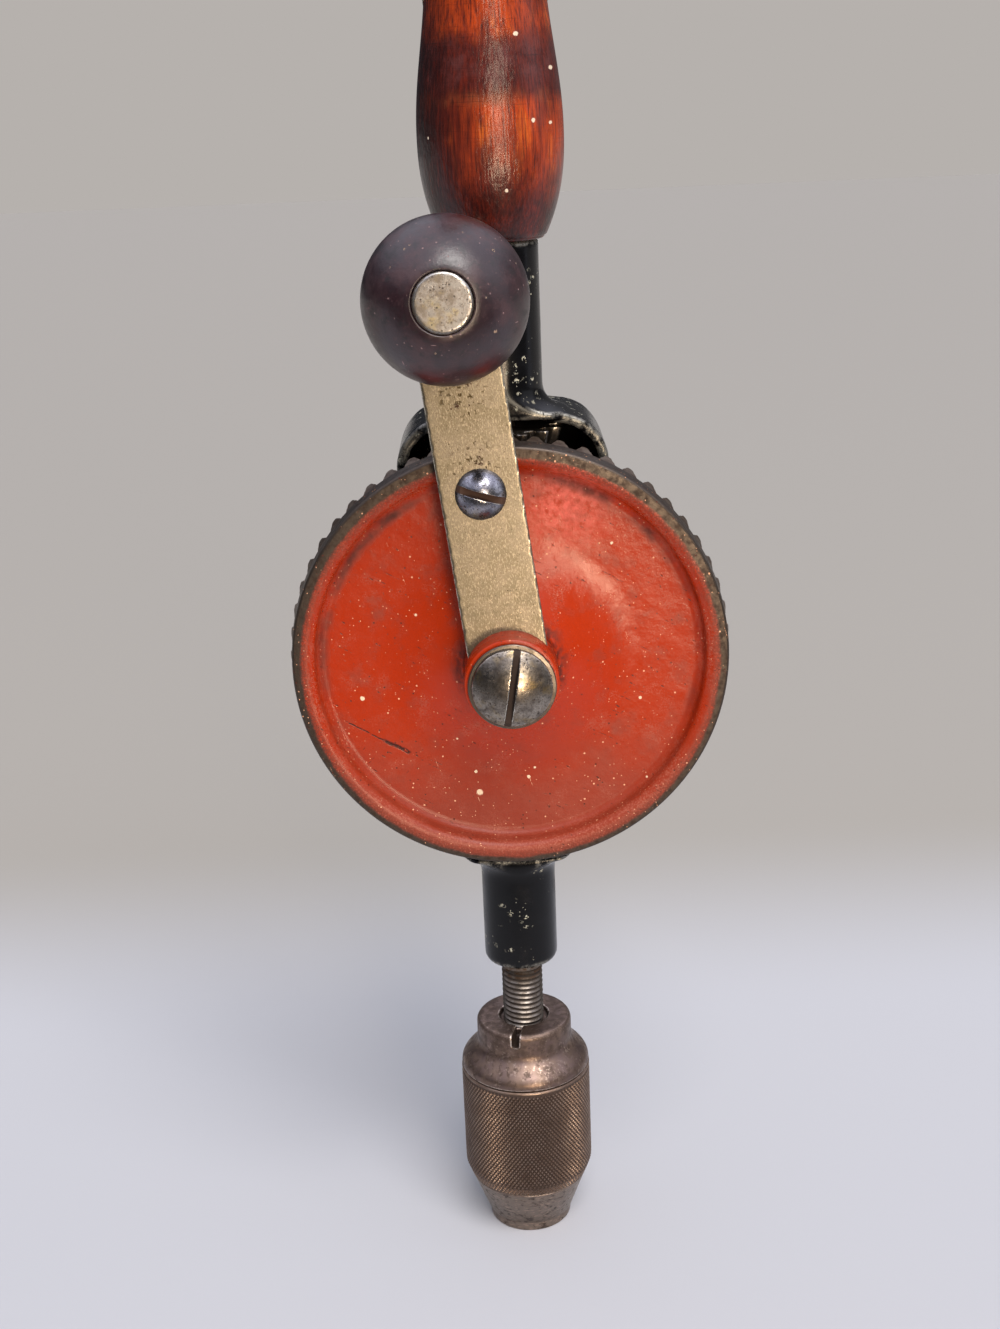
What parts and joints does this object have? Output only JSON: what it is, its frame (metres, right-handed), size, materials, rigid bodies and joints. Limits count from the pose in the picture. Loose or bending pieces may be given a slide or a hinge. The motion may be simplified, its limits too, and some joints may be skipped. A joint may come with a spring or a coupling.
{
  "type": "hand drill",
  "caption": "Eggbeater hand drill: a side crank turns a dished bevel gear that drives a spindle with a knurled three-jaw chuck below a turned wooden handle.",
  "frame": {"origin": "on the spindle axis at the mouth of the chuck, where the drill bit enters the jaws", "axes": "+Z along the spindle toward the handle, -Y toward the crank side of the gear, +X to the right seen from the crank side"},
  "size_m": [0.094, 0.0664, 0.3449],
  "materials": {
    "black_enamel": "gloss black enamel, chipped at the edges",
    "red_enamel": "satin red enamel, bare toothed rim",
    "handle_wood": "stained and varnished hardwood",
    "knob_wood": "dark stained hardwood, worn satin",
    "worn_nickel": "worn nickel plate with a brassy tint",
    "worn_steel": "bare mottled steel",
    "bright_steel": "bright steel",
    "dark_steel": "dark blued steel",
    "brown_steel": "steel with a brown patina"
  },
  "bodies": {
    "frame_set": {"frame": "black_enamel", "handle": "handle_wood", "handle_pin": "bright_steel", "axle_screw": "worn_steel", "axle_washer": "worn_steel", "idler_pin": "bright_steel", "thrust_ball": "bright_steel", "spindle_washer": "worn_steel"},
    "crank": {"drive_gear": "red_enamel", "crank_arm": "worn_nickel", "arm_screw": "dark_steel", "knob_stud": "worn_nickel"},
    "knob": {"crank_knob": "knob_wood"},
    "idler": {"idler_pinion": "worn_steel"},
    "spindle_set": {"spindle": "bright_steel", "drive_pinion": "worn_steel", "pinion_pin": "bright_steel", "chuck_body": "brown_steel", "shell_ring": "bright_steel"},
    "shell": {"chuck_shell": "brown_steel"},
    "nut": {"jaw_nut": "dark_steel"},
    "jaw_1": {"chuck_jaw_1": "bright_steel"},
    "jaw_2": {"chuck_jaw_2": "bright_steel"},
    "jaw_3": {"chuck_jaw_3": "bright_steel"}
  },
  "joints": [
    {"name": "crank_turn", "type": "hinge", "parent": "frame_set", "child": "crank", "pos_m": [0, -0.02, 0.14745], "axis": [0, -1, 0], "continuous": true},
    {"name": "knob_spin", "type": "hinge", "parent": "crank", "child": "knob", "pos_m": [-0.00964, -0.02027, 0.22374], "axis": [-0.0109, -0.9962, 0.0865], "continuous": true},
    {"name": "spindle_turn", "type": "hinge", "parent": "frame_set", "child": "spindle_set", "pos_m": [0, 0, 0.08], "axis": [0, 0, 1], "continuous": true},
    {"name": "idler_turn", "type": "hinge", "parent": "frame_set", "child": "idler", "pos_m": [0, 0, 0.19], "axis": [0, 0, 1], "continuous": true},
    {"name": "shell_turn", "type": "hinge", "parent": "spindle_set", "child": "shell", "pos_m": [0, 0, 0.035], "axis": [0, 0, 1], "range_deg": [0, 1080]},
    {"name": "nut_slide", "type": "slide", "parent": "spindle_set", "child": "nut", "axis": [0, 0, -1], "range_m": [0, 0.00465]},
    {"name": "jaw_slide_1", "type": "slide", "parent": "spindle_set", "child": "jaw_1", "axis": [0, -0.3173, -0.9483], "range_m": [0, 0.0049]},
    {"name": "jaw_slide_2", "type": "slide", "parent": "spindle_set", "child": "jaw_2", "axis": [0.2748, 0.1587, -0.9483], "range_m": [0, 0.0049]},
    {"name": "jaw_slide_3", "type": "slide", "parent": "spindle_set", "child": "jaw_3", "axis": [-0.2748, 0.1587, -0.9483], "range_m": [0, 0.0049]}
  ],
  "couplings": [
    {"joint": "spindle_turn", "follows": "crank_turn", "ratio": 4},
    {"joint": "idler_turn", "follows": "crank_turn", "ratio": -4},
    {"joint": "nut_slide", "follows": "shell_turn", "m_per_rad": 0.00024652},
    {"joint": "jaw_slide_1", "follows": "shell_turn", "m_per_rad": 0.00025995},
    {"joint": "jaw_slide_2", "follows": "shell_turn", "m_per_rad": 0.00025995},
    {"joint": "jaw_slide_3", "follows": "shell_turn", "m_per_rad": 0.00025995}
  ]
}
